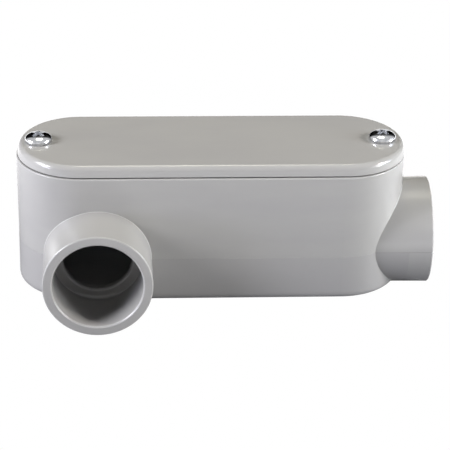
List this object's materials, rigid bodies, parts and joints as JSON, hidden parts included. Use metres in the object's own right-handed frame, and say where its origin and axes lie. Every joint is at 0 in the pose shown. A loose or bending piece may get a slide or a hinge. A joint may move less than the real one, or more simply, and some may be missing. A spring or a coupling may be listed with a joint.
{
  "type": "conduit body",
  "caption": "Right-hand conduit body in grey PVC: long round-ended box with a screwed flat cover, one socket hub on its end and one on its side.",
  "frame": {"origin": "centre of the box's flat back, midway along its length and across its width; the hubs stand about 3 mm proud of the back", "axes": "+Z out through the cover, +X out of the end hub, -Y out of the side hub"},
  "size_m": [0.1585, 0.0698, 0.062],
  "materials": {
    "grey_pvc": "semi-gloss, as moulded",
    "gasket_foam": "matt closed-cell foam",
    "zinc_steel": "bright zinc plate"
  },
  "bodies": {
    "root": {"body": "grey_pvc", "cover": "grey_pvc", "gasket": "gasket_foam", "end_screw": "zinc_steel", "far_screw": "zinc_steel"}
  },
  "joints": []
}
